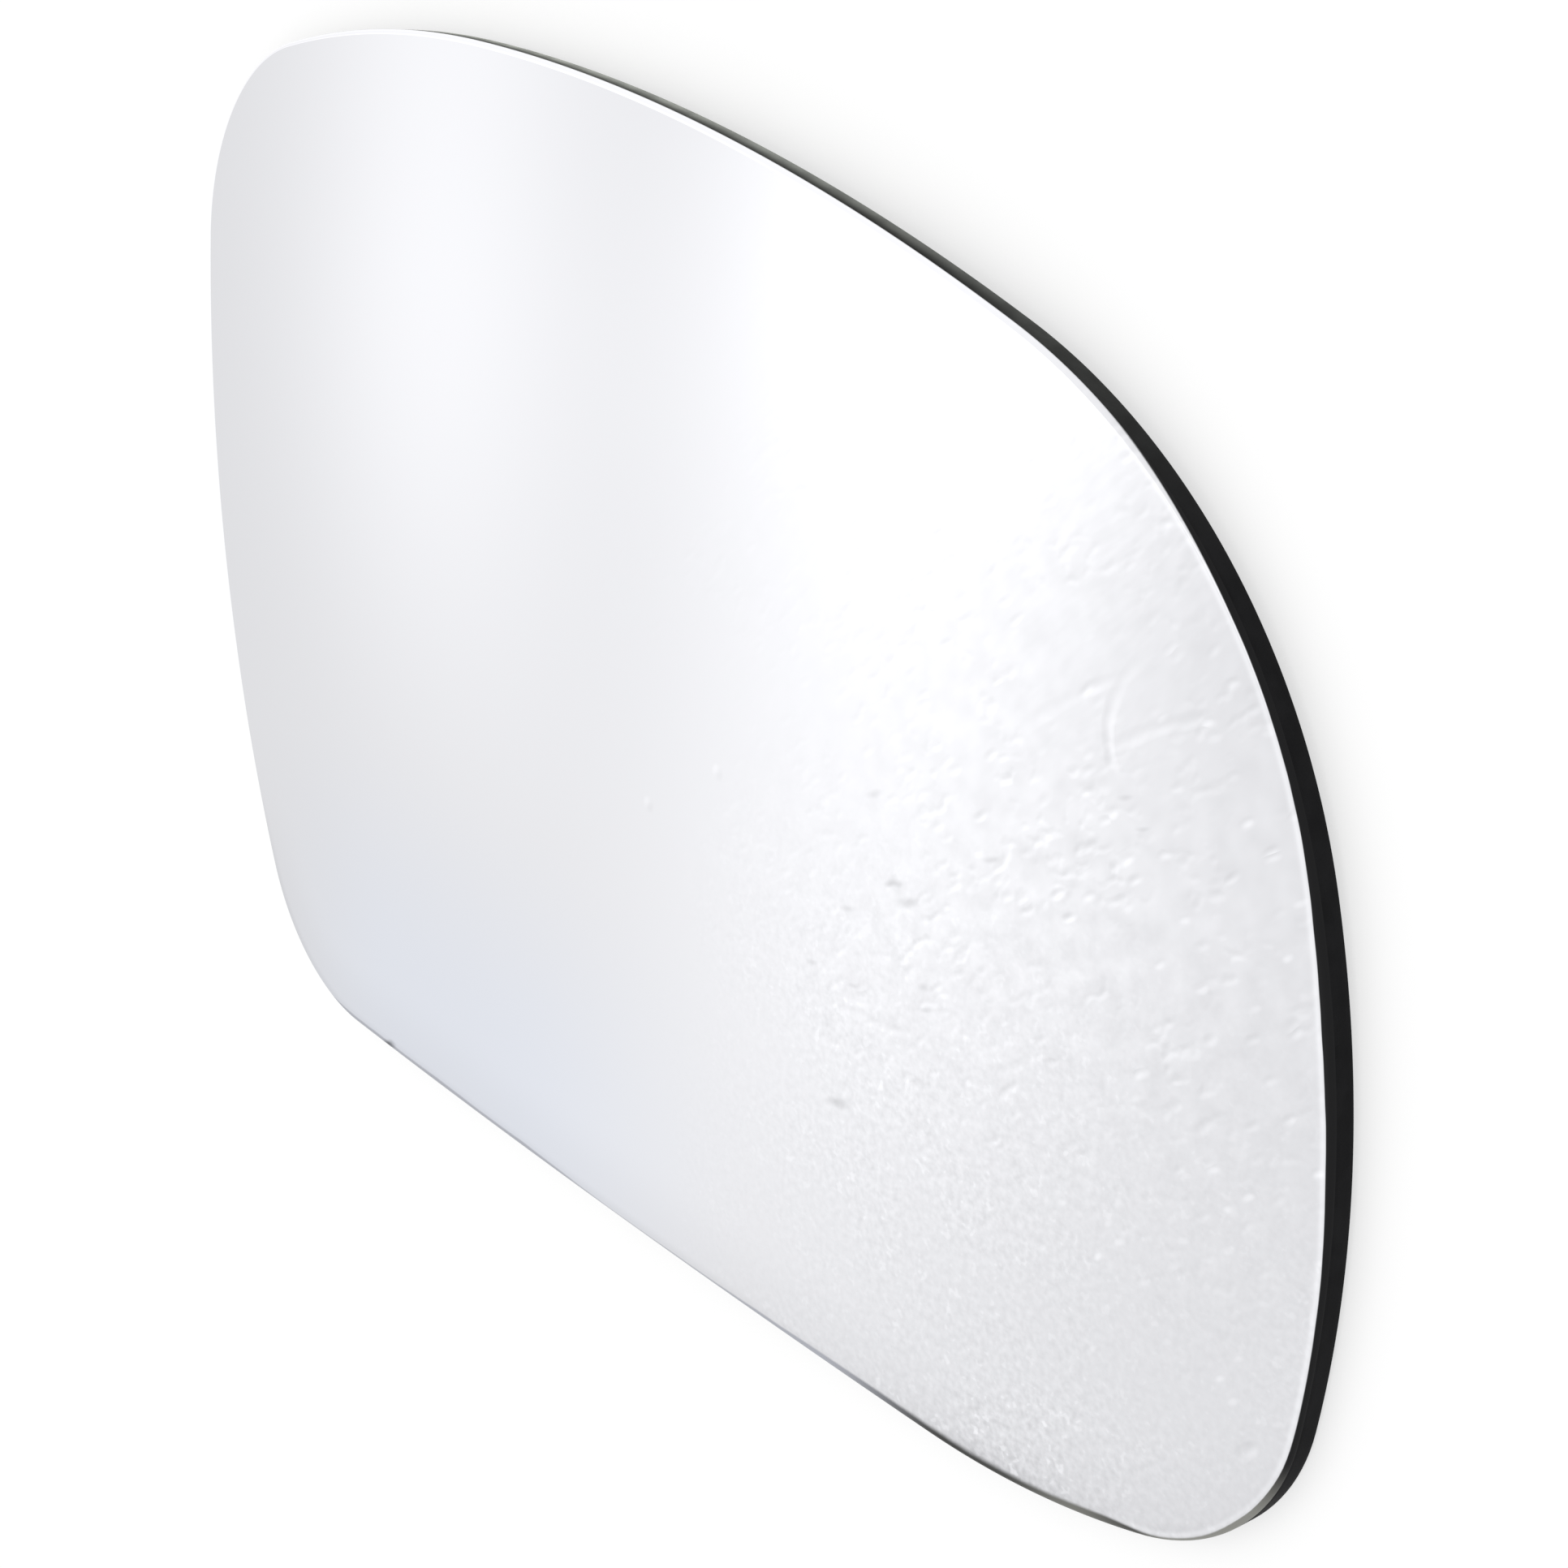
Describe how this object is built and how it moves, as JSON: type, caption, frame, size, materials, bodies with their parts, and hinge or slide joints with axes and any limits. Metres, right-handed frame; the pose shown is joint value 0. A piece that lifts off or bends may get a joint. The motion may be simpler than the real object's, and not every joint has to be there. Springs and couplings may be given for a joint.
{
  "type": "car door mirror glass",
  "caption": "Mirror glass of a car door mirror: a convex silvered plate with a straight bottom edge, a rounded outer shoulder and a ground edge.",
  "frame": {"origin": "centre of the outline's bounding rectangle, on the plane that the rim rests on", "axes": "+X along the straight bottom edge towards the outer side of the mirror, +Y towards the top edge, +Z out of the mirror face"},
  "size_m": [0.166, 0.107, 0.0056],
  "materials": {
    "silvered_glass": "reflecting film on glass, dark ground edge, dark grey paint on the back"
  },
  "bodies": {
    "root": {"mirror_glass": "silvered_glass"}
  },
  "joints": []
}
